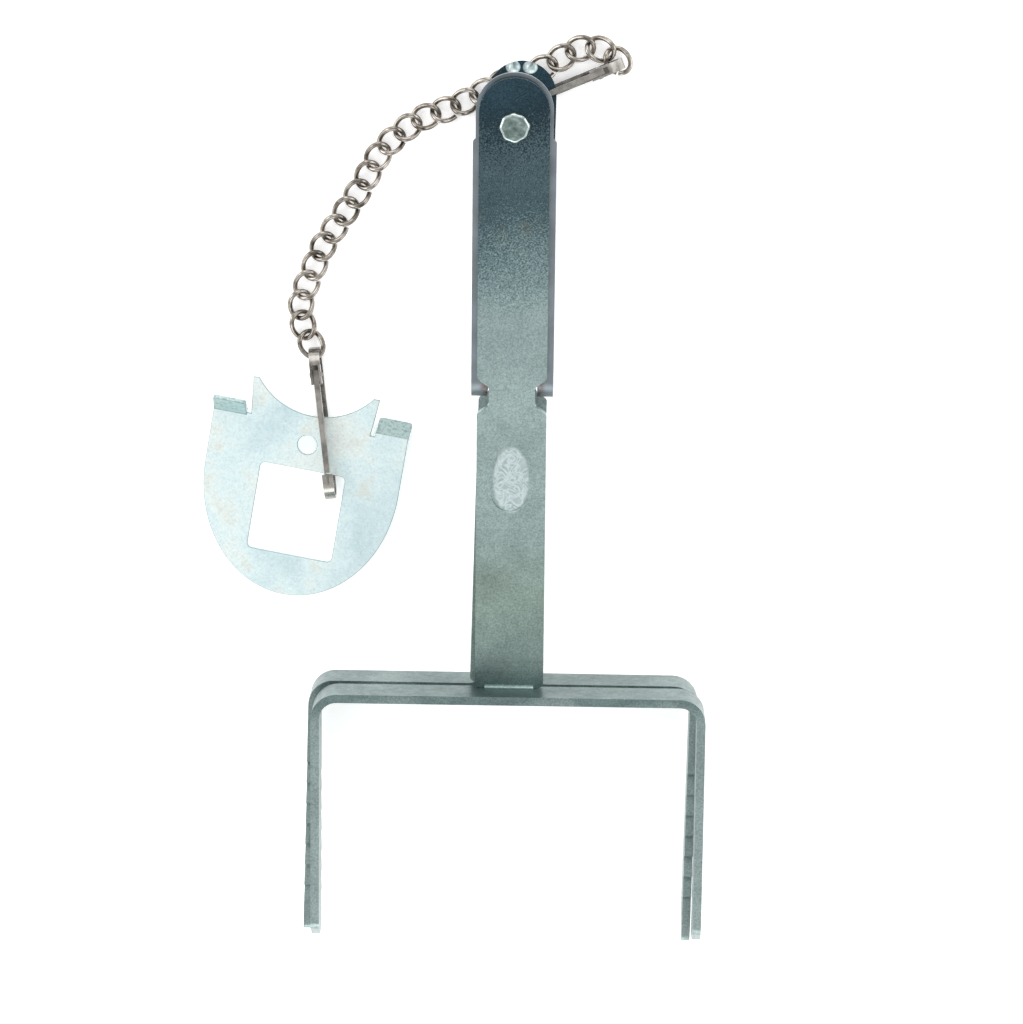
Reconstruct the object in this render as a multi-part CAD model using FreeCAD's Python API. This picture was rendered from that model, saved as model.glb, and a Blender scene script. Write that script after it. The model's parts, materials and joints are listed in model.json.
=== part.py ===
"""Hand-set scissor trap: two toothed U-jaws on sheet-metal levers, a leaf spring, and a trigger
plate on a safety chain with a snap hook at each end.  It lies flat, as put down on a bench.

Millimetres.  Z is up from the bench.  The trap is drawn in its own frame first (X across the
jaws, Y from the crossbars towards the heads, Z out of the front lever) and then laid down.
"""
import FreeCAD
import Part
import json
import math
import os
from FreeCAD import Placement, Rotation, Vector

# ---------------------------------------------------------------- driving dimensions
# Levers and jaws, both bent from one sheet
sheet = 2.0                 # thickness of the lever and jaw sheet
lever_length = 145.0        # crossbar's top face to the top of the head
lever_width = 16.0
lever_lean = 6.5            # degrees that each lever leans out from the middle
lever_gap = 1.15            # middle plane to the back of a lever at its crossbar
neck_width = 10.6           # between the two notches that hold the spring
notch_place = 71.0          # crossbar's top face to the middle of the notches
notch_height = 8.4
foot_width = 11.4           # the stem narrows to this where it bends into the crossbar
foot_high = 0.3             # crossbar's top face to the stem's lower corners
rear_bar_skew = 0.9         # degrees that the rear crossbar is out of square with its lever
jaw_width = 92.0            # over the outside of the legs
jaw_depth = 10.8            # width of the strip that the jaw is bent from
jaw_length = 60.5           # crossbar's top face to the tips of the front jaw
rear_jaw_more = 1.4         # the rear jaw's legs reach this much further
jaw_corner = 6.0            # outer radius of the crossbar's ends
jaw_converge = 1.4          # degrees that the legs lean towards the middle plane
tooth_pitch = 5.0
tooth_depth = 1.9
tooth_count = 7
tip_cut = 3.4               # the tips' outer corners are cut back by this
tooth_start = 20.5          # crossbar's top face to the first tooth
side_lean = 1.0             # degrees that the rear lever sits askew, so the tips pass
mark_length = 16.0          # plain coined oblong on the front lever
mark_width = 8.4
mark_place = 51.5
mark_depth = 0.3

facet_radius = 1.6          # coined facets at the top of the rear head
facet_depth = 0.7
facet_apart = 4.0
facet_drop = 1.5

# Spring and rivets
spring_sheet = 1.3
spring_width = 18.8
spring_drop = 14.6          # head's top to the shoulders of the wide part
rear_shoulder_more = 3.6    # the rear leaf's shoulders are this much lower
spring_bend = 4.7           # outer radius of the two bends
spring_below = 1.1          # the bend's outer face is this far below the notch middle
tongue_proud = 0.8          # the front tongue shows this far round the head
rear_tongue_in = 1.4        # the rear tongue is this much narrower than its lever, each side
rear_tongue_past = 4.6      # and ends this far past the rear rivet
slot_play = 0.5             # between the spring's slot and each side of the neck
rivet_drop = 11.2           # head's top to the front rivet
rear_rivet_drop = 18.0      # head's top to the rear rivet
rivet_shank = 4.0
rivet_head = 7.3
rivet_tail = 6.0
rivet_head_height = 1.1
rivet_tail_height = 0.8
bore_play = 0.05            # radial, round a rivet or a pin

# Hole for the chain's hook in the rear head
hook_hole = 3.8
hook_hole_side = -4.4
hook_hole_drop = 12.0

# Snap hooks, both alike; their ends are set where they lie
hook_height = 9.0
hook_sheet = 0.8
hook_width = 2.5
hook_nose = 6.4             # how far the nose comes back over the gate
hook_eye_low = 1.7          # outer radius of the bend under the eye, where the link lies
hook_nose_slot = 0.7
gate_length_gap = 0.3       # between the gate's end and the nose
pin_inset = 6.0             # eye end to the gate's pin
pin_radius = 0.6
pin_drop = 1.7              # top of the hook to the pin's axis
pin_proud = 0.25            # each end of the pin, past the strip
gate_bar = 1.5              # depth of the gate's bar
gate_play = 0.1             # each side, between the gate and the strip's ears
ear_length = 4.4
ear_height = 3.0
ear_sheet = 0.5
lip_back = 1.4              # the strip's eye end stops this far past the pin
root_room = 3.9             # length of the room for the gate's root
gate_root = 1.1             # the gate's bar runs this far past its pin
nose_slot_long = 2.4
leaf_long = 5.0             # small leaf that shuts the gate
leaf_wide = 0.9
leaf_sheet = 0.25
hook_lift = 0.05            # the hook's strip lies this far above the bench

# Chain
wire = 1.15
link_length = 6.4           # between wire centres, along the link
link_width = 5.2            # between wire centres, across it
link_twist = 0.95           # how far the wire rises and falls
link_slack = 0.12           # the least play between two links, along the chain
cut_gap = 0.45              # the links aren't welded
hooked_rise = 0.40          # an end link is this much higher where it goes through its hook

# Trigger plate
plate_sheet = 1.0
plate_width = 46.6
plate_height = 50.6         # bottom of the shield to the tips of the horns
plate_round = 28.5          # height of the rounded lower part
horn_out = 13.7             # middle to the inside of a horn's blunt tip
horn_tip = 1.5              # width of that tip
saddle_low = 43.8           # bottom of the shield to the bottom of the hollow edge
tab_root = 41.8
tab_width = 7.9
tab_length = 6.6
tab_corner = 0.8
tab_bend = 55.0             # degrees
relief = 1.1                # width of the cut beside each tab
plate_hole = 4.6
plate_hole_place = 36.8
window_width = 20.4
window_height = 21.0
window_low = 9.8
window_corner = 1.2

# How it all lies on the bench. Places are (x, y), with y measured from the heads' top
under_head_play = 0.3       # between the chain and the rear head above it
plate_place = (-54.35, -126.2)      # bottom of the shield
plate_turn = -9.5
plate_rise_way = 52.0       # degrees from the plate's X axis to where it rises
lower_eye = (-47.0, -67.1)
lower_nose = (-42.7, -102.8)
upper_eye = (24.6, 0.6)
# The chain's route over the bench, from the upper hook's eye to the lower one's
route = [(25.1, -0.8), (21.6, 2.7), (17.1, 4.3), (12.5, 3.2), (8.6, 0.3), (1.0, -2.8),
         (-8.6, -7.0), (-12.8, -9.5), (-17.0, -11.1), (-21.6, -12.6), (-25.6, -15.0),
         (-29.0, -18.1), (-32.6, -21.8), (-34.4, -25.6), (-36.6, -30.1), (-39.4, -34.0),
         (-42.6, -39.4), (-45.6, -43.4), (-47.0, -48.0), (-49.4, -53.0), (-50.6, -58.4),
         (-49.4, -63.5), (-46.45, -68.6)]

# ---------------------------------------------------------------- helpers
UP = Vector(0, 0, 1)
RIGHT = Vector(1, 0, 0)
ACROSS = Vector(0, 1, 0)
BIG = 300.0


def rounded(points, radii):
    """A closed flat wire through 3-D points, each corner turned into an arc of its radius."""
    n = len(points)
    runs = []
    for i in range(n):
        here, before, after = points[i], points[i - 1], points[(i + 1) % n]
        a = (before - here).normalize()
        b = (after - here).normalize()
        r = radii[i]
        if r == 0:
            runs.append((here, None, here))
            continue
        half = a.getAngle(b) / 2
        back = r / math.tan(half)
        middle = here + (a + b).normalize() * (r / math.sin(half) - r)
        runs.append((here + a * back, middle, here + b * back))
    edges = []
    for i in range(n):
        start, middle, end = runs[i]
        if middle is not None:
            edges.append(Part.Arc(start, middle, end).toShape())
        following = runs[(i + 1) % n][0]
        if end.distanceToPoint(following) > 1e-6:
            edges.append(Part.makeLine(end, following))
    return Part.Wire(edges)


def slab(points, radii, direction):
    return Part.Face(rounded(points, radii)).extrude(direction)


def flat(outline, low, high):
    """A plate in X and Y, from z = low to z = high. The outline is (x, y, corner radius)."""
    return slab([Vector(x, y, low) for x, y, r in outline], [r for x, y, r in outline],
                Vector(0, 0, high - low))


def profile(outline, half):
    """A section in Y and Z, drawn along X to both sides. The outline is (y, z, radius)."""
    return slab([Vector(-half, y, z) for y, z, r in outline], [r for y, z, r in outline],
                Vector(2 * half, 0, 0))


def mirrored_x(outline):
    """The right half of an outline, from bottom to top, and its mirror image."""
    return outline + [(-x, y, r) for x, y, r in reversed(outline)]


def drill(radius, x, y):
    return Part.makeCylinder(radius, 2 * BIG, Vector(x, y, -BIG), UP)


def turned(shape, centre, axis, degrees):
    copy = shape.copy()
    copy.rotate(centre, axis, degrees)
    return copy


def from_heads(place):
    return place[0], lever_length + place[1]


def keep(name, shape):
    if not shape.isValid() or len(shape.Solids) != 1:
        raise ValueError("%s is not one sound solid (%d)" % (name, len(shape.Solids)))
    pieces[name] = shape.Solids[0]


# ---------------------------------------------------------------- levers
lean_slope = math.tan(math.radians(lever_lean))
stem_back = Vector(0, 0, lever_gap)
half_lever = lever_width / 2
half_neck = neck_width / 2
# Along the leaning stem, from the crossbar's top face
stem_length = lever_length / math.cos(math.radians(lever_lean))
along = stem_length / lever_length


def on_stem(shape):
    """Move a piece drawn flat on the bench plane onto the back of the front lever."""
    copy = turned(shape, Vector(0, 0, 0), RIGHT, lever_lean)
    copy.translate(stem_back)
    return copy


def stem_plate():
    notch_low = notch_place * along - notch_height / 2
    notch_high = notch_place * along + notch_height / 2
    half = [(foot_width / 2, -sheet / 2, 0), (foot_width / 2, foot_high, 0.4),
            (half_lever, foot_high, 1.2), (half_lever, notch_low, 1.0),
            (half_neck, notch_low + 2.0, 1.0), (half_neck, notch_high - 2.0, 1.0),
            (half_lever, notch_high, 1.6), (half_lever, stem_length, half_lever - 0.01)]
    return on_stem(flat(mirrored_x(half), 0, sheet))


def foot_bend():
    """The bend that carries the stem's foot into the crossbar."""
    inner = 1.0
    low = lever_gap
    side = [(-sheet, low, inner + sheet), (sheet, low + sheet * lean_slope, 0),
            (sheet, low + sheet + sheet * lean_slope, 0), (0.0, low + sheet, inner),
            (0.0, low + jaw_depth / 2, 0), (-sheet, low + jaw_depth / 2, 0)]
    return profile(side, foot_width / 2)


def jaw(length, skew):
    """The crossbar and its two toothed legs, bent from one strip."""
    outer = jaw_width / 2
    inner = outer - sheet
    corner = jaw_corner
    rise = outer * math.tan(math.radians(skew))
    hoop = [(-outer, -length, 0), (-outer, -rise, corner), (outer, rise, corner),
            (outer, -length, 0), (inner, -length, 0), (inner, rise - sheet, corner - sheet),
            (-inner, -rise - sheet, corner - sheet), (-inner, -length, 0)]
    band = flat(hoop, -BIG, BIG)
    slope = math.tan(math.radians(jaw_converge))

    def edge(y, out):
        return lever_gap + out + slope * y

    side = [(2.0, lever_gap, 0), (-8.0, lever_gap, 0)]
    for i in range(tooth_count):
        y = -tooth_start - i * tooth_pitch
        side.append((y, edge(y, 0), 0))
        side.append((y - 0.25 * tooth_depth, edge(y, tooth_depth), 0))
    last = -tooth_start - tooth_count * tooth_pitch
    side += [(last, edge(last, 0), 0), (-length + 0.6, edge(-length, 0.2), 1.2),
             (-length, edge(-length, jaw_depth * 0.42), 1.0),
             (-length + tip_cut, edge(-length, jaw_depth), 2.2),
             (-8.0, lever_gap + jaw_depth, 0), (2.0, lever_gap + jaw_depth, 0)]
    return band.common(profile(side, BIG))


def mark():
    """A plain coined oblong, sunk in the front face."""
    half = mark_width / 2
    low = mark_place * along - mark_length / 2
    high = mark_place * along + mark_length / 2
    tool = flat([(half, low, half - 0.01), (half, high, half - 0.01), (-half, high, half - 0.01),
                 (-half, low, half - 0.01)], sheet - mark_depth, sheet + 1)
    return on_stem(turned(tool, Vector(0, mark_place * along, 0), UP, -6))


def lever(bore_drop, leg_length, skew=0):
    body = stem_plate().fuse(foot_bend()).fuse(jaw(leg_length, skew)).removeSplitter()
    bore = on_stem(drill(rivet_shank / 2 + bore_play, 0, (lever_length - bore_drop) * along))
    return body.cut(bore)


def to_rear(shape):
    """The front half's twin on the other side, a little askew."""
    copy = shape.mirror(Vector(0, 0, 0), UP)
    return turned(copy, Vector(0, notch_place, 0), UP, -side_lean)


def head_facets(top, centre):
    """Two small coined facets at the top of the rear head."""
    tools = []
    for side in (-1, 1):
        cone = Part.makeCone(2 * facet_radius, 0, 2 * facet_depth,
                             Vector(centre + side * facet_apart / 2, top - facet_drop, -facet_depth),
                             UP)
        tools.append(cone)
    return tools


# ---------------------------------------------------------------- spring and rivets
play = 0.05                 # between the spring's leaves and the levers


def leaf_spring():
    """One strip bent into a U, its leaves against the levers' backs and its bend slotted."""
    def back(y):
        return lever_gap + y * lean_slope - play

    low = notch_place - spring_below
    high = lever_length + 2
    t = spring_sheet
    outer = [(high, back(high), 0), (low, back(low), spring_bend), (low, -back(low), spring_bend),
             (high, -back(high), 0)]
    shift = t / math.cos(math.radians(lever_lean))
    inner = [(high, -back(high) + shift, 0), (low + t, -back(low) + shift, spring_bend - t),
             (low + t, back(low) - shift, spring_bend - t), (high, back(high) - shift, 0)]
    strip = profile(outer + inner, BIG)

    def outline(tongue, top, shoulder):
        half = [(spring_width / 2, low - 1, 0), (spring_width / 2, shoulder, 0.6),
                (tongue, shoulder, 0.4), (tongue, top, tongue - 0.01)]
        return mirrored_x(half)

    front = flat(outline(half_lever + tongue_proud, lever_length + tongue_proud,
                         lever_length - spring_drop), 0, BIG)
    rear = flat(outline(half_lever - rear_tongue_in,
                        lever_length - rear_rivet_drop + rear_tongue_past,
                        lever_length - spring_drop - rear_shoulder_more), -BIG, 0)
    slot_half = half_neck + slot_play
    slot = flat(mirrored_x([(slot_half, low - 5, 0), (slot_half, notch_place + 4.6, 1.5)]), -BIG, BIG)
    body = strip.common(front.fuse(rear)).cut(slot).removeSplitter()
    front_bore = on_stem(drill(rivet_shank / 2 + bore_play, 0, (lever_length - rivet_drop) * along))
    rear_bore = to_rear(on_stem(drill(rivet_shank / 2 + bore_play, 0,
                                      (lever_length - rear_rivet_drop) * along)))
    half_space = Part.makeBox(2 * BIG, 2 * BIG, BIG, Vector(-BIG, -BIG, 0))
    other_half = Part.makeBox(2 * BIG, 2 * BIG, BIG, Vector(-BIG, -BIG, -BIG))
    return body.cut(front_bore.common(half_space)).cut(rear_bore.common(other_half))


def rivet(drop):
    """Shank through lever and leaf, a flat formed head outside and a closed tail inside."""
    inside = -(spring_sheet + 3 * play)
    y = (lever_length - drop) * along
    shank_low = inside - rivet_tail_height / 2
    shank = Part.makeCylinder(rivet_shank / 2, sheet + rivet_head_height / 2 - shank_low,
                              Vector(0, y, shank_low), UP)
    head = Part.makeCone(rivet_head / 2, rivet_head / 2 - 0.5, rivet_head_height,
                         Vector(0, y, sheet), UP)
    tail = Part.makeCylinder(rivet_tail / 2, rivet_tail_height,
                             Vector(0, y, inside - rivet_tail_height), UP)
    return on_stem(shank.fuse(head).fuse(tail).removeSplitter())


# ---------------------------------------------------------------- laying the trap down
def resting_place():
    """Turn about X and lift, so that the jaw tips and the rear head are at their heights."""
    slope = math.tan(math.radians(jaw_converge))
    rear_length = jaw_length + rear_jaw_more
    tip_y = -rear_length + tip_cut
    tip_z = -(lever_gap + jaw_depth - slope * rear_length)
    head_y = lever_length
    head_z = -(lever_gap + lever_length * lean_slope + sheet / math.cos(math.radians(lever_lean)))
    head_height = wire + 2 * link_twist + under_head_play
    dy = head_y - tip_y
    dz = head_z - tip_z
    tilt = math.asin(head_height / math.hypot(dy, dz)) - math.atan2(dz, dy)
    lift = -(tip_y * math.sin(tilt) + tip_z * math.cos(tilt))
    return math.degrees(tilt), lift


tilt, lift = resting_place()


def laid(shape):
    copy = turned(shape, Vector(0, 0, 0), RIGHT, tilt)
    copy.translate(Vector(0, 0, lift))
    return copy


def laid_point(point):
    return Rotation(RIGHT, tilt).multVec(point) + Vector(0, 0, lift)


# ---------------------------------------------------------------- snap hooks
half_strip = hook_width / 2
below = pin_drop + gate_bar / 2 - 0.05      # top of the hook to the underside of its gate


def hook_body(length):
    """The strip: nose, round the nose end, along the bottom and round the eye. X runs to the eye."""
    bend = (hook_height / 2) - 0.01
    outer = [(hook_nose, hook_height, 0), (0, hook_height, bend), (0, 0, bend),
             (length, 0, hook_eye_low), (length, hook_height, bend),
             (length - pin_inset - lip_back, hook_height, 0)]
    t = hook_sheet
    inner = [(length - pin_inset - lip_back, hook_height - t, 0),
             (length - t, hook_height - t, bend - t),
             (length - t, t, hook_eye_low - t), (t, t, bend - t), (t, hook_height - t, bend - t),
             (hook_nose, hook_height - t, 0)]
    outline = outer + inner
    points = [Vector(x, -half_strip, z) for x, z, r in outline]
    body = slab(points, [r for x, z, r in outline], Vector(0, hook_width, 0))
    slot = Part.makeBox(nose_slot_long, hook_nose_slot, 2 * t,
                        Vector(hook_nose - nose_slot_long, -hook_nose_slot / 2, hook_height - 1.5 * t))
    ears = []
    for side in (-1, 1):
        face = Part.makeBox(ear_length, ear_sheet, ear_height,
                            Vector(length - pin_inset - ear_length / 2,
                                   side * (half_strip - ear_sheet / 2) - ear_sheet / 2,
                                   hook_height - ear_height))
        ears.append(face)
    # Room for the gate's root between the ears
    window = Part.makeBox(root_room, hook_width - 2 * ear_sheet, hook_height,
                          Vector(length - pin_inset - lip_back - 0.1, ear_sheet - half_strip,
                                 hook_height - ear_height - 0.2))
    return body.cut(slot).fuse(ears).cut(window).cut(pin_bore(length)).removeSplitter()


def pin_place(length, y):
    return Vector(length - pin_inset, y, hook_height - pin_drop)


def pin_bore(length):
    return Part.makeCylinder(pin_radius + bore_play, BIG, pin_place(length, -BIG / 2), ACROSS)


def hook_gate(length):
    """A slim round-topped bar from the pin to just short of the nose."""
    width = hook_width - 2 * ear_sheet - 2 * gate_play
    start = hook_nose + gate_length_gap
    end = length - pin_inset + gate_root
    bar = Part.makeBox(end - start, width, gate_bar, Vector(start, -width / 2, hook_height - below))
    return bar.cut(pin_bore(length))


def hook_pin(length):
    reach = hook_width + 2 * pin_proud
    return Part.makeCylinder(pin_radius, reach, pin_place(length, -reach / 2), ACROSS)


def hook_spring(length):
    """The small leaf under the gate's root that holds it shut."""
    return Part.makeBox(leaf_long, leaf_wide, leaf_sheet,
                        Vector(length - pin_inset - pin_radius - leaf_long, -leaf_wide / 2,
                               hook_height - below - 0.05 - leaf_sheet))


def placed_hook(shape, nose, eye):
    copy = shape.copy()
    angle = math.degrees(math.atan2(eye[1] - nose[1], eye[0] - nose[0]))
    copy.Placement = Placement(Vector(nose[0], nose[1], hook_lift), Rotation(UP, angle))
    return copy


def keep_hook(name, length, nose, eye):
    for part_name, maker in (("body", hook_body), ("gate", hook_gate), ("pin", hook_pin),
                             ("gate_spring", hook_spring)):
        keep("%s_%s" % (name, part_name), placed_hook(maker(length), nose, eye))


# ---------------------------------------------------------------- chain
def link(hooked=0):
    """One twisted curb link about its own middle, long in X, with a small cut in one side.

    The end links lie flat, and a little higher, on the side that goes through a hook:
    hooked is -1 or 1 for that side.
    """
    steps = 16
    gap_angle = cut_gap / (link_width / 2)
    middle_angle = math.radians(128)
    points = []
    for i in range(steps + 1):
        a = middle_angle + gap_angle / 2 + (2 * math.pi - gap_angle) * i / steps
        share = (1 + hooked * math.cos(a)) / 2 if hooked else 0
        points.append(Vector(link_length / 2 * math.cos(a), link_width / 2 * math.sin(a),
                             link_twist * math.sin(2 * a) * (1 - share) + hooked_rise * share))
    curve = Part.BSplineCurve()
    curve.interpolate(points)
    spine = Part.Wire(curve.toShape())
    tangent = curve.tangent(curve.FirstParameter)[0]
    ring = Part.Wire(Part.makeCircle(wire / 2, points[0], tangent))
    body = spine.makePipeShell([ring], True, True)
    return Part.makeSolid(body)


def chain_joints():
    """Points a link apart along the route, from one hook to the other."""
    curve = Part.BSplineCurve()
    curve.interpolate([Vector(*from_heads(point), 0) for point in route])
    length = curve.length()
    longest = link_length - wire - link_slack
    count = math.ceil(length / longest)

    def walk(pitch):
        here = curve.FirstParameter
        found = [curve.value(here)]
        for _ in range(count):
            low, high = here, min(here + (curve.LastParameter - curve.FirstParameter) / 8,
                                  curve.LastParameter)
            for _ in range(40):
                mid = (low + high) / 2
                if curve.value(mid).distanceToPoint(found[-1]) < pitch:
                    low = mid
                else:
                    high = mid
            here = low
            found.append(curve.value(here))
        return found, here

    short, long = longest * 0.7, longest
    for _ in range(40):
        pitch = (short + long) / 2
        if walk(pitch)[1] < curve.LastParameter - 1e-6:
            short = pitch
        else:
            long = pitch
    found, _ = walk(short)
    return found, short


def placed_link(shape, start, end):
    copy = shape.copy()
    middle = (start + end) * 0.5
    angle = math.degrees(math.atan2(end.y - start.y, end.x - start.x))
    copy.Placement = Placement(Vector(middle.x, middle.y, wire / 2 + link_twist), Rotation(UP, angle))
    return copy


# ---------------------------------------------------------------- trigger plate
def bent_tab():
    """A tab bent down about the X axis, from a root on the plate's edge at Y = 0."""
    left = -tab_width / 2
    corner = Vector(0, 0, plate_sheet)
    tab = flat([(left, 0, 0), (left, tab_length, tab_corner), (-left, tab_length, tab_corner),
                (-left, 0, 0)], 0, plate_sheet)
    tab = turned(tab, corner, RIGHT, -tab_bend)
    knee = Part.makeCylinder(plate_sheet, tab_width, Vector(left, 0, plate_sheet), RIGHT, 360)
    above = Part.makeBox(tab_width, 4 * plate_sheet, 4 * plate_sheet,
                         Vector(left, -2 * plate_sheet, plate_sheet))
    past = Part.makeBox(tab_width, 4 * plate_sheet, 4 * plate_sheet,
                        Vector(left, 0, -3 * plate_sheet))
    knee = knee.cut(above).cut(turned(past, corner, RIGHT, -tab_bend))
    root = Part.makeBox(tab_width, 2 * plate_sheet, plate_sheet, Vector(left, -2 * plate_sheet, 0))
    return root.fuse(knee).fuse(tab)


def trigger_plate():
    """A shield with a hollow top edge, two tabs bent opposite ways, a pull hole and a window."""
    half = plate_width / 2
    side_top = tab_root
    bottom = Part.Ellipse(Vector(0, 0, 0), Vector(half, plate_round, 0), Vector(0, plate_round, 0))
    shape = Part.Wire([
        Part.ArcOfEllipse(bottom, -math.pi / 2, math.pi / 2).toShape(),
        Part.makeLine(Vector(-half, plate_round, 0), Vector(-half, side_top, 0)),
        Part.makeLine(Vector(-half, side_top, 0), Vector(-half + tab_width + relief, side_top, 0)),
        Part.makeLine(Vector(-half + tab_width + relief, side_top, 0),
                      Vector(-horn_out - horn_tip, plate_height, 0)),
        Part.makeLine(Vector(-horn_out - horn_tip, plate_height, 0), Vector(-horn_out, plate_height, 0)),
        Part.Arc(Vector(-horn_out, plate_height, 0), Vector(0, saddle_low, 0),
                 Vector(horn_out, plate_height, 0)).toShape(),
        Part.makeLine(Vector(horn_out, plate_height, 0), Vector(horn_out + horn_tip, plate_height, 0)),
        Part.makeLine(Vector(horn_out + horn_tip, plate_height, 0),
                      Vector(half - tab_width - relief, side_top, 0)),
        Part.makeLine(Vector(half - tab_width - relief, side_top, 0), Vector(half, side_top, 0)),
        Part.makeLine(Vector(half, side_top, 0), Vector(half, plate_round, 0))])
    body = Part.Face(shape).extrude(Vector(0, 0, plate_sheet))
    for side in (-1, 1):
        tab = bent_tab()
        if side < 0:
            tab = tab.mirror(Vector(0, 0, plate_sheet / 2), UP)
        tab.translate(Vector(side * (half - tab_width / 2), side_top, 0))
        body = body.fuse(tab)
    low, high = window_low, window_low + window_height
    r = window_corner
    w = window_width / 2
    opening = flat([(w, low, r), (w, high, r), (-w, high, r), (-w, low, r)], -BIG, BIG)
    body = body.cut(opening).cut(drill(plate_hole / 2, 0, plate_hole_place))
    return body.removeSplitter()


def plate_placement():
    """Resting on the tip of the tab that is bent down, and on the rim across from it."""
    way = math.radians(plate_rise_way)
    bend = math.radians(tab_bend)
    half = plate_width / 2
    deep = tab_length * math.sin(bend) + plate_sheet * math.cos(bend) - plate_sheet
    tip = (half - tab_width) * math.cos(way) + (tab_root + tab_length * math.cos(bend)) * math.sin(way)
    rim = plate_round * math.sin(way) - math.hypot(half * math.cos(way), plate_round * math.sin(way))
    lean = math.atan2(deep, tip - rim)
    raised = Placement(Vector(0, 0, hook_lift - rim * math.sin(lean)),
                       Rotation(Vector(math.sin(way), -math.cos(way), 0), math.degrees(lean)))
    return Placement(Vector(*from_heads(plate_place), 0),
                     Rotation(UP, plate_turn)).multiply(raised)


def laid_plate(shape):
    copy = shape.copy()
    copy.Placement = plate_placement().multiply(copy.Placement)
    return copy


def plate_points():
    where = plate_placement()
    middle = where.multVec(Vector(0, plate_hole_place, plate_sheet / 2))
    return middle, where.Rotation.multVec(UP)


# ---------------------------------------------------------------- build
os.makedirs("parts", exist_ok=True)
pieces = {}

front = lever(rivet_drop, jaw_length).cut(mark())
rear_stem_frame = lever(rear_rivet_drop, jaw_length + rear_jaw_more, rear_bar_skew)
hook_bore = on_stem(drill(hook_hole / 2, hook_hole_side, (lever_length - hook_hole_drop) * along))
rear_stem_frame = rear_stem_frame.cut(hook_bore)
for cone in head_facets(stem_length, 0.0):
    rear_stem_frame = rear_stem_frame.cut(on_stem(cone))
keep("front_lever", laid(front))
keep("rear_lever", laid(to_rear(rear_stem_frame)))
keep("leaf_spring", laid(leaf_spring()))
keep("front_rivet", laid(rivet(rivet_drop)))
keep("rear_rivet", laid(to_rear(rivet(rear_rivet_drop))))

lower_eye_place = from_heads(lower_eye)
lower_nose_place = from_heads(lower_nose)
upper_eye_place = from_heads(upper_eye)

# The upper hook's nose end stands in the hole in the rear head
hole_on_stem = Vector(hook_hole_side, (lever_length - hook_hole_drop) * along, 0)
hole_point = Rotation(RIGHT, lever_lean).multVec(hole_on_stem) + stem_back
hole_point.z = -hole_point.z
notch_point = Vector(0, notch_place, 0)
hole_point = Rotation(UP, -side_lean).multVec(hole_point - notch_point) + notch_point
hole_point = laid_point(hole_point)
towards_eye = Vector(upper_eye_place[0] - hole_point.x, upper_eye_place[1] - hole_point.y, 0).normalize()
upper_nose = (hole_point.x - towards_eye.x * hook_sheet / 2,
              hole_point.y - towards_eye.y * hook_sheet / 2)
upper_length = math.dist(upper_nose, upper_eye_place)
lower_length = math.dist(lower_nose_place, lower_eye_place)
keep_hook("upper_hook", upper_length, upper_nose, upper_eye_place)
keep_hook("lower_hook", lower_length, lower_nose_place, lower_eye_place)

joints, pitch = chain_joints()
last_link = len(joints) - 2
for i in range(last_link + 1):
    shape = link({0: -1, last_link: 1}.get(i, 0))
    keep("chain_link_%02d" % (i + 1), placed_link(shape, joints[i], joints[i + 1]))

keep("trigger_plate", laid_plate(trigger_plate()))

# The frame's origin is the middle of the bottom of everything
everything = FreeCAD.BoundBox()
for solid in pieces.values():
    everything.add(solid.optimalBoundingBox(False, False))
shift = Vector(-everything.Center.x, -everything.Center.y, -everything.ZMin)
for name, solid in pieces.items():
    solid.translate(shift)
    solid.exportStep("parts/%s.step" % name)


# ---------------------------------------------------------------- places, for the record
def place(x, y, z):
    return [round(c, 4) for c in Vector(x, y, z) + shift]


def hook_places(nose, eye, length):
    way = Vector(eye[0] - nose[0], eye[1] - nose[1], 0).normalize()
    pin = Vector(nose[0], nose[1], 0) + way * (length - pin_inset)
    bar = Vector(nose[0], nose[1], 0) + way * (hook_sheet / 2)
    return {"way": [way.x, way.y], "pin": place(pin.x, pin.y, hook_lift + hook_height - pin_drop),
            "nose": place(bar.x, bar.y, hook_lift)}


plate_hole_point, plate_normal = plate_points()
pivot = laid_point(notch_point)
print("PLACES", json.dumps({
    "pivot": place(pivot.x, pivot.y, pivot.z),
    "upper": hook_places(upper_nose, upper_eye_place, upper_length),
    "lower": hook_places(lower_nose_place, lower_eye_place, lower_length),
    "chain": [place(p.x, p.y, wire / 2 + link_twist) for p in joints],
    "plate_hole": place(plate_hole_point.x, plate_hole_point.y, plate_hole_point.z),
    "plate_normal": [round(c, 6) for c in plate_normal],
    "shift": [round(c, 4) for c in shift], "tilt": tilt, "pitch": pitch,
    "size": [everything.XLength, everything.YLength, everything.ZLength]}))
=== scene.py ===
"""Scissor trap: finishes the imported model's sheet-metal, wire and strip pieces and stages them."""
import json
import math

import bmesh
import bpy
from mathutils import Matrix, Vector


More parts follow.
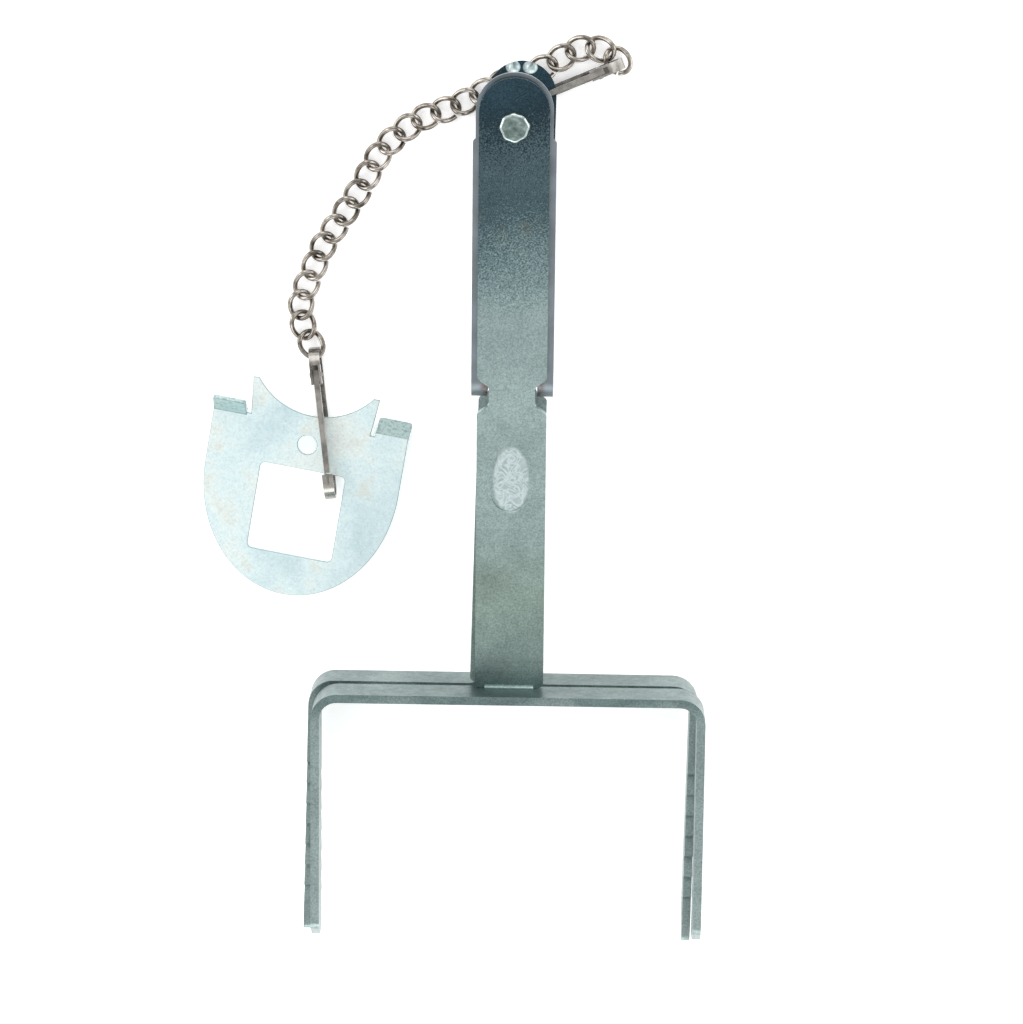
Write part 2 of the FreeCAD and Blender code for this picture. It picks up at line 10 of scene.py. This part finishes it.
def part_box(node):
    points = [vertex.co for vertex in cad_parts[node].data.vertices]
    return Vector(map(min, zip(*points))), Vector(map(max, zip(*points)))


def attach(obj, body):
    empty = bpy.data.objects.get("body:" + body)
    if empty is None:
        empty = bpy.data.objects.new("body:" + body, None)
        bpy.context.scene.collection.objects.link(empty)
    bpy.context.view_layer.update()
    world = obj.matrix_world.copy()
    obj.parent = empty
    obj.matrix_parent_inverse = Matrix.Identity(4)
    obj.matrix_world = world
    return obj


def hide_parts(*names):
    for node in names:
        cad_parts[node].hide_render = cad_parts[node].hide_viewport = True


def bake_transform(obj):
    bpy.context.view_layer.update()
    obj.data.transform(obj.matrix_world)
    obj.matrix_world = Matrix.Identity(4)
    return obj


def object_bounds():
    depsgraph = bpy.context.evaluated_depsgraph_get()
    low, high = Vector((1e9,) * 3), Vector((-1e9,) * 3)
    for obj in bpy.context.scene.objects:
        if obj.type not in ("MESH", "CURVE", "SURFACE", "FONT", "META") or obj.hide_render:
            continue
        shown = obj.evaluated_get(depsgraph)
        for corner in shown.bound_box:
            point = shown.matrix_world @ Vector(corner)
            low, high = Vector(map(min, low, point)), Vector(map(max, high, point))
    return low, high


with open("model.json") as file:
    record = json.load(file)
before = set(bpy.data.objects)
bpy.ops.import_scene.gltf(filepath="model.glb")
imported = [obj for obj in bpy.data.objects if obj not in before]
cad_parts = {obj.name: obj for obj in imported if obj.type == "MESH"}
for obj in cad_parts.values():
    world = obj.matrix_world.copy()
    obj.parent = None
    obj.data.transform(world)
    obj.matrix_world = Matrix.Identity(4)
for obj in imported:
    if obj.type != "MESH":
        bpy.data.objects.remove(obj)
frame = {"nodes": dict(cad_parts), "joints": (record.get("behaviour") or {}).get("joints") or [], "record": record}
cad_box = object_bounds()

bl_info = {
    "name": "Scissor trap",
    "version": (1, 0, 0),
    "blender": (4, 5, 0),
    "location": "3D View > Sidebar > Trap",
    "description": "Finishes a sprung scissor trap with its chain and trigger plate",
    "category": "Object",
}

MM = 0.001
MERGE_MM = 0.002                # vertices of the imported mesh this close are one
FLAT_DEGREES = 0.4              # faces this nearly in one plane are one
BEVEL_DEGREES = 32              # edges sharper than this are rounded
PIN_EDGE_MM = 0.15

# The struck oblong on the front lever, below the head's top, and its half width and half length
MARK_BELOW_TOP_MM = 93.4
MARK_HALF_MM = (4.4, 8.2)
# The two coined dents beside the rear lever's hole
DENT_ASIDE_MM = 2.0
DENT_BELOW_TOP_MM = 1.5
DENT_HALF_MM = (1.8, 1.6)

# Where the spring bends: this far above and below the pivot, in so many slices
BEND_REACH_MM = 6.0
BEND_SLICES = 12

# The hammered head's outline: how deep, how many to the turn, and where each wave starts
SCALLOPS = ((0.022, 3, 0.6), (0.030, 8, 1.0))
SCALLOP_FROM_MM = 2.6

# A face of the trigger plate this far out of the plate's plane is a tab or its bend; those faces get a darker
# finish as painted shade
TAB_COSINES = (0.2, 0.95)
TAB_SLOT = 2

FLOOR_HALF = 1.6
FLOOR_GAP = 0.0002
LIGHT_SIZE = 0.6
LIGHTS = (                      # name, place, power in watts
    ("left", (-0.75, 0.15, 0.40), 3.2),
    ("right", (0.75, 0.05, 0.40), 2.8),
    ("heads", (0.0, 0.85, 0.45), 2.4),
    ("jaws", (-0.1, -0.80, 0.40), 2.4),
)
SKY_STRENGTH = 1.15
SKY = ((0.0, 1.0), (0.35, 0.96), (0.75, 0.80), (0.97, 0.78), (1.0, 0.76))

# The zinc's tone from the jaws (0) to the heads (1), darkening to blue-black towards the heads as a painted
# reflection; None is the user's own zinc
ZINC_AND_REFLECTION_TONES = (
    (0.00, "#93A3A1"), (0.270, "#8C9D9B"), (0.290, "#6B7F7E"), (0.320, "#7D908D"),
    (0.42, "#85978F"), (0.47, None), (0.60, "#9DB0AE"), (0.735, "#97AAA9"),
    (0.780, "#7A8F91"), (0.815, "#5C7276"), (0.845, "#4C6268"), (0.872, "#374A51"),
    (0.898, "#60757A"), (0.925, "#3A4A50"), (0.965, "#23343E"), (1.00, "#334A55"),
)

LINKS = sorted(n for n in frame["nodes"] if n.startswith("chain_link"))
HOOKS = ("upper", "lower")


# ---------------------------------------------------------------- small helpers
def linear(hex_colour):
    """An sRGB hex colour as linear RGBA."""
    out = []
    for i in (1, 3, 5):
        c = int(hex_colour[i:i + 2], 16) / 255
        out.append(c / 12.92 if c <= 0.04045 else ((c + 0.055) / 1.055) ** 2.4)
    return (*out, 1.0)


def add(tree, kind, inputs=None, **settings):
    """Add one node: its settings as attributes, its inputs as values or as sockets to link."""
    made = tree.nodes.new(kind)
    for key, value in settings.items():
        setattr(made, key, value)
    for key, value in (inputs or {}).items():
        if isinstance(value, bpy.types.NodeSocket):
            tree.links.new(value, made.inputs[key])
        else:
            made.inputs[key].default_value = value
    return made


def grade(tree, factor, stops, interpolation="LINEAR"):
    """A colour ramp over (place, colour) stops; a number stands for a grey."""
    ramp = add(tree, "ShaderNodeValToRGB", {"Fac": factor})
    ramp.color_ramp.interpolation = interpolation
    elements = ramp.color_ramp.elements
    while len(elements) < len(stops):
        elements.new(0.5)
    for element, (place, colour) in zip(elements, stops):
        element.position = place
        element.color = (colour, colour, colour, 1) if isinstance(colour, (int, float)) else colour
    return ramp.outputs["Color"]


def blend_colours(tree, factor, a, b, mode="MIX"):
    """Two colours mixed, multiplied or whichever is lighter."""
    made = add(tree, "ShaderNodeMix", {0: factor, 6: a, 7: b}, data_type="RGBA", blend_type=mode)
    return made.outputs[2]


def maths(tree, operation, *values):
    """The result of a math node on numbers or sockets."""
    made = add(tree, "ShaderNodeMath", dict(enumerate(values)), operation=operation)
    return made.outputs[0]


def remap(tree, value, low, high, to_low=0.0, to_high=1.0):
    """A value from the range low to high, carried to the range to_low to to_high."""
    made = add(tree, "ShaderNodeMapRange", {0: value, 1: low, 2: high, 3: to_low, 4: to_high})
    return made.outputs[0]


def noise(tree, where, size_mm, detail=2.0, rough=0.5, distortion=0.0):
    """Noise whose features are about size_mm across."""
    made = add(tree, "ShaderNodeTexNoise", {"Vector": where, "Scale": 1000 / size_mm,
               "Detail": detail, "Roughness": rough, "Distortion": distortion})
    return made.outputs["Fac"]


def new_material(name):
    """An empty material, its node tree, its shader and the object's own coordinates."""
    material = bpy.data.materials.new(name)
    material.use_nodes = True
    tree = material.node_tree
    tree.nodes.clear()
    out = add(tree, "ShaderNodeOutputMaterial")
    shader = add(tree, "ShaderNodeBsdfPrincipled")
    tree.links.new(shader.outputs[0], out.inputs[0])
    where = add(tree, "ShaderNodeTexCoord").outputs["Object"]
    return material, tree, shader, where


def feed(tree, shader, **sockets):
    """Give the shader numbers, or sockets to link, by short names."""
    names = {"colour": "Base Color", "metal": "Metallic", "rough": "Roughness", "normal": "Normal"}
    for key, value in sockets.items():
        socket = shader.inputs[names[key]]
        if isinstance(value, bpy.types.NodeSocket):
            tree.links.new(value, socket)
        else:
            socket.default_value = value


def bump(tree, height, depth_mm, strength=1.0):
    """The normal of a surface that is depth_mm rough."""
    made = add(tree, "ShaderNodeBump", {"Height": height, "Distance": depth_mm * MM,
                                         "Strength": strength})
    return made.outputs["Normal"]


# ---------------------------------------------------------------- materials
def zinc_plated_sheet(colours, burnished):
    """Bright zinc on hot-rolled sheet: a grey-green shine, freckled with tiny bright crystals.

    Towards the heads the zinc is painted blue-black: a painted reflection of a dark ceiling.
    burnished holds a middle and a half width and half length for each patch rubbed bright.
    """
    material, tree, shader, where = new_material("bright_zinc_on_rolled_steel")
    split = add(tree, "ShaderNodeSeparateXYZ", {0: where})
    low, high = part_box("front_lever")
    ragged = maths(tree, "MULTIPLY_ADD", noise(tree, where, 22, 3), 0.030, -0.015)
    shifted = maths(tree, "ADD", split.outputs["Y"], ragged)
    length = remap(tree, shifted, low[1], high[1])
    # The crystals are about 0.35 mm: they break up the change of tone where the painted reflection darkens the
    # heads
    crystals = noise(tree, where, 0.35, 2, 0.6)
    reflection_speckle_amount = remap(tree, length, 0.62, 0.80, 0.03, 0.30)
    scatter = maths(tree, "ADD", crystals, -0.5)
    place = maths(tree, "MULTIPLY_ADD", scatter, reflection_speckle_amount, length)
    body = grade(tree, place,
                 [(at, linear(tone or colours.zinc)) for at, tone in ZINC_AND_REFLECTION_TONES])
    cloud = grade(tree, noise(tree, where, 11, 4, 0.6), [(0.35, 0.86), (0.65, 1.05)])
    body = blend_colours(tree, 1.0, body, cloud, "MULTIPLY")
    grain_tone = grade(tree, noise(tree, where, 0.42, 3, 0.7), [(0.34, 0.66), (0.66, 1.20)])
    body = blend_colours(tree, 0.9, body, grain_tone, "MULTIPLY")
    # Bare, burnished steel where the head was coined and the oblong was struck
    bright = None
    for middle, reach in burnished:
        apart = add(tree, "ShaderNodeVectorMath", {0: where, 1: middle}, operation="SUBTRACT")
        scaled = add(tree, "ShaderNodeVectorMath", {0: apart.outputs[0],
                     1: (1 / reach[0], 1 / reach[1], 0.0)}, operation="MULTIPLY")
        out = add(tree, "ShaderNodeVectorMath", {0: scaled.outputs[0]}, operation="LENGTH")
        here = grade(tree, out.outputs["Value"], [(0.88, 1.0), (1.0, 0.0)])
        bright = here if bright is None else blend_colours(tree, 1.0, bright, here, "LIGHTEN")
    swirl = grade(tree, noise(tree, where, 3.4, 1, 0.4, 3.0), [
        (0.36, linear("#A0B0B1")), (0.50, linear("#C6D3D4")), (0.64, linear("#A9B8B9"))])
    body = blend_colours(tree, bright, body, swirl)
    stain = grade(tree, noise(tree, where, 15, 5, 0.7), [(0.62, 0.0), (0.78, 0.35)])
    body = blend_colours(tree, stain, body, linear("#77695A"))
    rough = grade(tree, noise(tree, where, 1.6, 3), [(0.3, 0.30), (0.7, 0.44)])
    grain = noise(tree, where, 0.5, 3, 0.6)
    feed(tree, shader, colour=body, metal=0.92, rough=rough,
         normal=bump(tree, grain, 0.03, 0.45))
    return material


def edge_wear_and_painted_light(name, tone, rough=0.24):
    """A finish for edges and tabs, smoother than the face and of another tone: a painted highlight on the lever
    and rivet rims, painted shade on the trigger's tabs.
    """
    material, tree, shader, where = new_material(name)
    nicks = grade(tree, noise(tree, where, 0.7, 3, 0.65), [(0.36, 0.62), (0.52, 1.0)])
    body = blend_colours(tree, 1.0, linear(tone), nicks, "MULTIPLY")
    feed(tree, shader, colour=body, metal=0.95, rough=rough,
         normal=bump(tree, noise(tree, where, 0.6, 2), 0.02, 0.5))
    return material


def spring_strip(colours):
    """Hardened spring strip, phosphated: smooth, matt, mid grey, dark rust-brown beside the slots at the bend,
    partly rust and partly painted shade.
    """
    material, tree, shader, where = new_material("phosphated_spring_steel")
    low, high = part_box("leaf_spring")
    middle = (low[0] + high[0]) / 2
    split = add(tree, "ShaderNodeSeparateXYZ", {0: where})
    side = maths(tree, "ABSOLUTE", maths(tree, "SUBTRACT", split.outputs["X"], middle))
    # Dark rust-brown beside the slots near the bend: rust, with painted shade where the strip bends past the
    # levers
    near_slot = remap(tree, side, 5.8 * MM, 7.8 * MM, 1.0, 0.0)
    near_bend = remap(tree, split.outputs["Y"], low[1] + 4.5 * MM, low[1] + 7.5 * MM, 1.0, 0.0)
    ragged = grade(tree, noise(tree, where, 1.6, 4), [(0.35, 0.0), (0.62, 1.0)])
    rust_and_shade = maths(tree, "MULTIPLY", maths(tree, "MULTIPLY", near_slot, near_bend), ragged)
    body = grade(tree, noise(tree, where, 7, 4), [(0.3, linear("#6C7679")),
                                                  (0.7, linear(colours.spring))])
    body = blend_colours(tree, rust_and_shade, body, linear("#5A3015"))
    feed(tree, shader, colour=body, metal=0.72, rough=0.42,
         normal=bump(tree, noise(tree, where, 0.8, 3), 0.012, 0.4))
    return material


def hammered_rivet():
    """Mild steel rivet, zinc plated and hammered: brighter than the sheet, dented."""
    material, tree, shader, where = new_material("hammered_zinc_rivet")
    body = grade(tree, noise(tree, where, 2.0, 4, 0.65), [
        (0.34, linear("#556664")), (0.55, linear("#7B8C89")), (0.72, linear("#A9B8B4"))])
    feed(tree, shader, colour=body, metal=0.95, rough=0.32,
         normal=bump(tree, noise(tree, where, 2.4, 2), 0.25, 0.9))
    return material


def nickel(name, base, shade, grain_mm):
    """Nickel on drawn wire or strip: warm grey, mirror bright, brown-black in the hollows."""
    material, tree, shader, where = new_material(name)
    body = grade(tree, noise(tree, where, grain_mm, 4, 0.6), [(0.34, linear(shade)),
                                                              (0.58, linear(base))])
    rough = grade(tree, noise(tree, where, grain_mm * 0.6, 3), [(0.3, 0.16), (0.75, 0.34)])
    feed(tree, shader, colour=body, metal=1.0, rough=rough,
         normal=bump(tree, noise(tree, where, 1.1, 3), 0.03, 0.5))
    return material


def passivated_sheet(colours):
    """Thin blanked sheet, zinc with a clear-blue passivation: pale, with faint rainbow tints."""
    material, tree, shader, where = new_material("blue_passivated_zinc_sheet")
    tint = noise(tree, where, 16, 3, 0.6)
    body = grade(tree, tint, [(0.30, linear("#C6DDE1")), (0.48, linear(colours.trigger)),
                              (0.60, linear("#E0EAE6")), (0.72, linear("#D9DFE5"))])
    yellow = grade(tree, noise(tree, where, 8, 5, 0.65), [(0.55, 0.0), (0.75, 0.38)])
    body = blend_colours(tree, yellow, body, linear("#B9AE93"))
    # Barrel-rubbed: hair-fine curling scratches, drawn 0.15 mm wide so that they show
    for size, depth in ((2.6, 0.20), (1.7, 0.16)):
        curl = noise(tree, where, size, 1, 0.4, 2.2)
        line = grade(tree, curl, [(0.470, 0.0), (0.487, depth), (0.504, 0.0)])
        body = blend_colours(tree, line, body, linear("#8FA3A6"))
        glint = grade(tree, curl, [(0.560, 0.0), (0.575, 0.5), (0.590, 0.0)])
        body = blend_colours(tree, glint, body, linear("#F4FBFB"))
    fine = noise(tree, where, 0.7, 3, 0.7)
    body = blend_colours(tree, grade(tree, fine, [(0.45, 0.0), (0.75, 0.35)]), body,
                         linear("#9DB0B6"))
    rough = grade(tree, tint, [(0.3, 0.34), (0.7, 0.46)])
    feed(tree, shader, colour=body, metal=0.80, rough=rough, normal=bump(tree, fine, 0.02, 0.4))
    return material


def light_table():
    """Opal acrylic of a light table: matt white and faintly lit from below, so shadows are soft."""
    material, tree, shader, where = new_material("opal_acrylic_light_table")
    body = grade(tree, noise(tree, where, 60, 2), [(0.3, linear("#FBFBFB")),
                                                   (0.7, linear("#FFFFFF"))])
    feed(tree, shader, colour=body, metal=0.0, rough=0.9)
    shader.inputs["Emission Color"].default_value = (1, 1, 1, 1)
    shader.inputs["Emission Strength"].default_value = 0.30
    return material


# ---------------------------------------------------------------- pieces from the frame
def show(node, material):
    """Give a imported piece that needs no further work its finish."""
    slots = frame["nodes"][node].material_slots
    for slot in slots:
        slot.material = material
    if not slots:
        frame["nodes"][node].data.materials.append(material)


def body_of_node(node):
    """The moving body that the record puts the node in."""
    for body, members in frame["record"]["behaviour"]["bodies"].items():
        if node in members:
            return body
    raise ValueError("no body holds " + node)


def clean_copy(node):
    """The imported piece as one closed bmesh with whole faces."""
    bm = bmesh.new()
    bm.from_mesh(frame["nodes"][node].data)
    bmesh.ops.remove_doubles(bm, verts=bm.verts, dist=MERGE_MM * MM)
    bmesh.ops.dissolve_limit(bm, angle_limit=math.radians(FLAT_DEGREES), verts=bm.verts,
                             edges=bm.edges)
    return bm


def finished(node, bm, material, edge_mm, segments=2, rim=None, other=None):
    """Round a piece's edges as tumbling and plating leave them, and put it in the node's place."""
    mesh = bpy.data.meshes.new(node + "_finished")
    for face in bm.faces:
        face.smooth = True
    bm.to_mesh(mesh)
    bm.free()
    for finish in (material, rim, other):
        if finish:
            mesh.materials.append(finish)
    piece = bpy.data.objects.new(node + "_finished", mesh)
    bpy.context.scene.collection.objects.link(piece)
    bevel = piece.modifiers.new("worn_edges", "BEVEL")
    bevel.width = edge_mm * MM
    bevel.segments = segments
    bevel.limit_method = "ANGLE"
    bevel.angle_limit = math.radians(BEVEL_DEGREES)
    bevel.profile = 0.5
    # The rim material goes on the rounded edges; on the levers and rivets its tone is a painted highlight
    bevel.material = 1 if rim else -1
    flats = piece.modifiers.new("true_flats", "WEIGHTED_NORMAL")
    flats.mode = "FACE_AREA"
    flats.weight = 100
    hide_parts(node)
    return piece


# ---------------------------------------------------------------- what a user would change
class TrapEdges(bpy.types.PropertyGroup):
    """How far each kind of edge is rounded"""
    lever: bpy.props.FloatProperty(name="Lever edge", description="Rounding of the sheet, mm",
                                   default=0.5, min=0.0, max=0.9)
    spring: bpy.props.FloatProperty(name="Spring edge", description="Rounding of the strip, mm",
                                    default=0.22, min=0.0, max=0.6)
    hook: bpy.props.FloatProperty(name="Hook edge", description="Rounding of the hook strip, mm",
                                  default=0.34, min=0.0, max=0.38)
    gate: bpy.props.FloatProperty(name="Gate edge", description="Rounding of the gates, mm",
                                  default=0.42, min=0.0, max=0.6)
    trigger: bpy.props.FloatProperty(name="Trigger edge", description="Rounding of the plate, mm",
                                     default=0.16, min=0.0, max=0.45)
    rivet: bpy.props.FloatProperty(name="Rivet edge", description="Rounding of the rivet heads, mm",
                                   default=0.38, min=0.0, max=0.6)


class TrapColours(bpy.types.PropertyGroup):
    """The base tone of each finish"""
    zinc: bpy.props.StringProperty(name="Zinc", description="Plated sheet, sRGB", default="#90A29F")
    spring: bpy.props.StringProperty(name="Spring", description="Spring strip, sRGB",
                                     default="#868F96")
    trigger: bpy.props.StringProperty(name="Trigger", description="Trigger plate, sRGB",
                                      default="#D8EAEC")
    wire: bpy.props.StringProperty(name="Wire", description="Chain wire, sRGB", default="#A39D95")
    strip: bpy.props.StringProperty(name="Strip", description="Hook strip, sRGB", default="#A6A39E")


class TrapStage(bpy.types.PropertyGroup):
    """Where the camera is and how it leans"""
    distance: bpy.props.FloatProperty(name="Distance", description="Camera height",
                                      default=0.98569, unit="LENGTH")
    pitch: bpy.props.FloatProperty(name="Pitch", description="Lean of the view towards the heads",
                                   default=math.radians(8.24), subtype="ANGLE")
    roll: bpy.props.FloatProperty(name="Roll", description="Turn about the line of sight",
                                  default=math.radians(0.74), subtype="ANGLE")
    yaw: bpy.props.FloatProperty(name="Yaw", description="Lean of the view to the side",
                                 default=math.radians(-0.81), subtype="ANGLE")
    aside: bpy.props.FloatProperty(name="Aside", description="Camera's place across the jaws",
                                   default=0.02738, unit="LENGTH")
    along: bpy.props.FloatProperty(name="Along", description="Camera's place along the levers",
                                   default=0.13702, unit="LENGTH")
    lens: bpy.props.FloatProperty(name="Lens", description="Focal length, mm", default=147.80)


# ---------------------------------------------------------------- operators
class TRAP_OT_levers(bpy.types.Operator):
    """Both levers with their toothed jaws"""
    bl_idname = "trap.levers"
    bl_label = "Levers and jaws"

    def execute(self, context):
        scene = context.scene
        # The rims are painted near-white: a painted highlight along the levers' rounded edges
        rim = edge_wear_and_painted_light("painted_highlight_zinc_edge", "#DDE8E8")
        for node in ("front_lever", "rear_lever"):
            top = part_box(node)[1][1]
            rivet_low, rivet_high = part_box(node.replace("lever", "rivet"))
            head = (rivet_low[0] + rivet_high[0]) / 2
            if node == "front_lever":
                spots, half = [(0.0, MARK_BELOW_TOP_MM)], MARK_HALF_MM
            else:
                spots = [(side * DENT_ASIDE_MM, DENT_BELOW_TOP_MM) for side in (-1, 1)]
                half = DENT_HALF_MM
            burnished = [((head + aside * MM, top - below * MM, 0), (half[0] * MM, half[1] * MM))
                         for aside, below in spots]
            material = zinc_plated_sheet(scene.trap_colours, burnished)
            piece = finished(node, clean_copy(node), material, scene.trap_edges.lever, rim=rim)
            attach(piece, body_of_node(node))
        return {"FINISHED"}


class TRAP_OT_spring(bpy.types.Operator):
    """The leaf spring, sliced across where it bends near the pivot"""
    bl_idname = "trap.spring"
    bl_label = "Leaf spring"

    def execute(self, context):
        scene = context.scene
        bm = clean_copy("leaf_spring")
        pivot = next(j for j in frame["joints"] if j["name"] == "squeeze")["pos_m"]
        reach = BEND_REACH_MM * MM
        for i in range(BEND_SLICES + 1):
            height = pivot[2] - reach + 2 * reach * i / BEND_SLICES
            bmesh.ops.bisect_plane(bm, geom=bm.verts[:] + bm.edges[:] + bm.faces[:],
                                   plane_co=(0, 0, height), plane_no=(0, 0, 1))
        piece = finished("leaf_spring", bm, spring_strip(scene.trap_colours),
                         scene.trap_edges.spring)
        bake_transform(piece)
        return {"FINISHED"}


class TRAP_OT_rivets(bpy.types.Operator):
    """The two rivets through the heads"""
    bl_idname = "trap.rivets"
    bl_label = "Rivets"

    def execute(self, context):
        material = hammered_rivet()
        # The rivet heads' rims are painted bright: a painted highlight
        rim = edge_wear_and_painted_light("painted_highlight_rivet_rim", "#B9C8C5")
        for node in ("front_rivet", "rear_rivet"):
            bm = clean_copy(node)
            low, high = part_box(node)
            axis = (Vector(low) + Vector(high)) / 2
            for vert in bm.verts:
                out = Vector((vert.co.x - axis.x, vert.co.y - axis.y, 0))
                if out.length > SCALLOP_FROM_MM * MM:
                    turn = math.atan2(out.y, out.x)
                    vert.co += out * sum(depth * math.sin(waves * turn + start)
                                         for depth, waves, start in SCALLOPS)
            piece = finished(node, bm, material, context.scene.trap_edges.rivet, 3, rim=rim)
            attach(piece, body_of_node(node))
        return {"FINISHED"}


class TRAP_OT_hooks(bpy.types.Operator):
    """Both snap hooks: strip, gate, pin and gate spring"""
    bl_idname = "trap.hooks"
    bl_label = "Snap hooks"

    def execute(self, context):
        edges = context.scene.trap_edges
        strip = nickel("nickel_plated_strip", context.scene.trap_colours.strip, "#6E6A66", 5)
        for hook in HOOKS:
            for part, edge, segments in (("body", edges.hook, 3), ("gate", edges.gate, 4),
                                         ("pin", PIN_EDGE_MM, 2)):
                node = f"{hook}_hook_{part}"
                piece = finished(node, clean_copy(node), strip, edge, segments)
                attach(piece, body_of_node(node))
            show(hook + "_hook_gate_spring", strip)
        return {"FINISHED"}


class TRAP_OT_chain(bpy.types.Operator):
    """The chain's twisted links"""
    bl_idname = "trap.chain"
    bl_label = "Chain"

    def execute(self, context):
        wire = nickel("nickel_plated_wire", context.scene.trap_colours.wire, "#5C554D", 3.5)
        for node in LINKS:
            show(node, wire)
        return {"FINISHED"}


class TRAP_OT_trigger(bpy.types.Operator):
    """The shield-shaped trigger plate"""
    bl_idname = "trap.trigger"
    bl_label = "Trigger plate"

    def execute(self, context):
        scene = context.scene
        bm = clean_copy("trigger_plate")
        bm.normal_update()
        flat = max(bm.faces, key=lambda face: face.calc_area()).normal.copy()
        # Tabs and their bends get a darker finish: painted shade on the faces tilted out of the plate's plane
        for face in bm.faces:
            if TAB_COSINES[0] < abs(face.normal.dot(flat)) < TAB_COSINES[1]:
                face.material_index = TAB_SLOT
        piece = finished("trigger_plate", bm, passivated_sheet(scene.trap_colours),
                         scene.trap_edges.trigger, rim=edge_wear_and_painted_light("blanked_edge", "#879A9C", 0.35),
                         other=edge_wear_and_painted_light("painted_shade_zinc_tabs", "#9DB0AF", 0.40))
        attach(piece, body_of_node("trigger_plate"))
        return {"FINISHED"}


class TRAP_OT_stage(bpy.types.Operator):
    """Floor, lights and camera"""
    bl_idname = "trap.stage"
    bl_label = "Stage"

    def execute(self, context):
        scene = context.scene
        stage = scene.trap_stage
        bm = bmesh.new()
        bmesh.ops.create_grid(bm, x_segments=1, y_segments=1, size=FLOOR_HALF)
        bmesh.ops.translate(bm, verts=bm.verts, vec=(0, 0, cad_box[0][2] - FLOOR_GAP))
        mesh = bpy.data.meshes.new("floor")
        bm.to_mesh(mesh)
        bm.free()
        mesh.materials.append(light_table())
        floor = bpy.data.objects.new("floor", mesh)
        scene.collection.objects.link(floor)

        for name, place, power in LIGHTS:
            data = bpy.data.lights.new(name, "AREA")
            data.energy = power
            data.size = LIGHT_SIZE
            light = bpy.data.objects.new(name, data)
            light.location = place
            light.rotation_euler = (-Vector(place)).to_track_quat("-Z", "Y").to_euler()
            scene.collection.objects.link(light)
        world = bpy.data.worlds.new("studio")
        world.use_nodes = True
        sky = world.node_tree
        facing = add(sky, "ShaderNodeSeparateXYZ",
                     {0: add(sky, "ShaderNodeTexCoord").outputs["Generated"]})
        tent = grade(sky, facing.outputs["Z"], SKY)
        sky.links.new(tent, sky.nodes["Background"].inputs[0])
        sky.nodes["Background"].inputs[1].default_value = SKY_STRENGTH
        scene.world = world
        scene.view_settings.view_transform = "Standard"

        forward = Vector((math.sin(stage.yaw) * math.cos(stage.pitch), -math.sin(stage.pitch),
                          -math.cos(stage.pitch) * math.cos(stage.yaw))).normalized()
        right = forward.cross(Vector((0, 1, 0))).normalized()
        up = right.cross(forward)
        turned_right = right * math.cos(stage.roll) + up * math.sin(stage.roll)
        turned_up = up * math.cos(stage.roll) - right * math.sin(stage.roll)
        data = bpy.data.cameras.new("camera")
        data.sensor_width = 36
        data.sensor_fit = "HORIZONTAL"
        data.lens = stage.lens
        data.clip_end = 10
        camera = bpy.data.objects.new("camera", data)
        place = Matrix((turned_right, turned_up, -forward)).transposed().to_4x4()
        place.translation = (stage.aside, stage.along, stage.distance)
        camera.matrix_world = place
        scene.collection.objects.link(camera)
        scene.camera = camera
        return {"FINISHED"}


class TRAP_PT_panel(bpy.types.Panel):
    """Lists the trap's pieces"""
    bl_idname = "TRAP_PT_panel"
    bl_label = "Scissor trap"
    bl_space_type = "VIEW_3D"
    bl_region_type = "UI"
    bl_category = "Trap"

    def draw(self, context):
        for operator in OPERATORS:
            self.layout.operator(operator.bl_idname)


OPERATORS = (TRAP_OT_stage, TRAP_OT_levers, TRAP_OT_spring, TRAP_OT_rivets, TRAP_OT_hooks,
             TRAP_OT_chain, TRAP_OT_trigger)
GROUPS = {"trap_edges": TrapEdges, "trap_colours": TrapColours, "trap_stage": TrapStage}


def register():
    for cls in (*GROUPS.values(), *OPERATORS, TRAP_PT_panel):
        bpy.utils.register_class(cls)
    for name, cls in GROUPS.items():
        setattr(bpy.types.Scene, name, bpy.props.PointerProperty(type=cls))


def unregister():
    for name in GROUPS:
        delattr(bpy.types.Scene, name)
    for cls in reversed((*GROUPS.values(), *OPERATORS, TRAP_PT_panel)):
        bpy.utils.unregister_class(cls)


def main():
    register()
    bpy.ops.trap.stage()
    bpy.ops.trap.levers()
    bpy.ops.trap.spring()
    bpy.ops.trap.rivets()
    bpy.ops.trap.hooks()
    bpy.ops.trap.chain()
    bpy.ops.trap.trigger()


if __name__ == "__main__":
    main()
